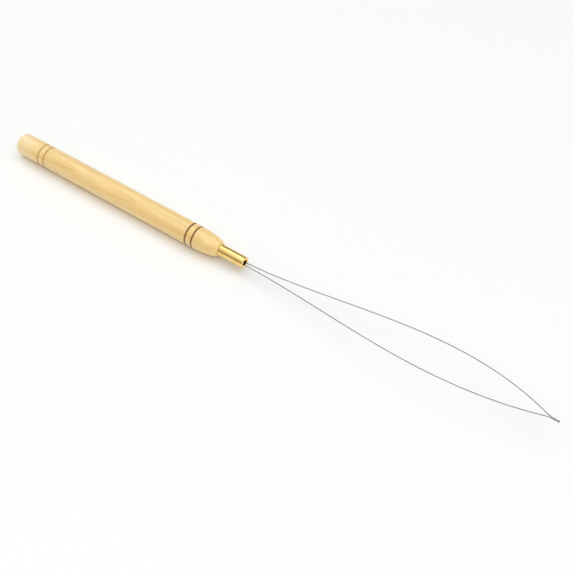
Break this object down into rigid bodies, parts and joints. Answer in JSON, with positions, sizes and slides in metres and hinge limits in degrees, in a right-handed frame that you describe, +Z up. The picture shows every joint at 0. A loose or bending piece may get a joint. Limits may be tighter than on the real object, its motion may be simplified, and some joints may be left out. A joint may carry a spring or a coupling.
{
  "type": "wire loop threading tool",
  "caption": "Slim turned wooden handle and brass ferrule holding a long leaf-shaped loop of thin spring wire with a fine twisted tip, for pulling thread or hair through.",
  "frame": {"origin": "on the surface that the tool lies on, under the middle of its overall length, with the handle's axis 4.56 mm above it", "axes": "+X along the tool, from the butt of the handle towards the twisted tip of the loop; +Z up; +Y across the loop"},
  "size_m": [0.2476, 0.0154, 0.0107],
  "materials": {
    "lacquered_wood": "clear gloss lacquer on pale, straight-grained wood, with the turned grooves darkened",
    "brass": "polished",
    "spring_steel": "drawn wire, lightly polished",
    "resin": "hardened clear amber resin"
  },
  "bodies": {
    "root": {"handle": "lacquered_wood", "ferrule": "brass", "wire_loop": "spring_steel", "resin_plug": "resin"}
  },
  "joints": []
}
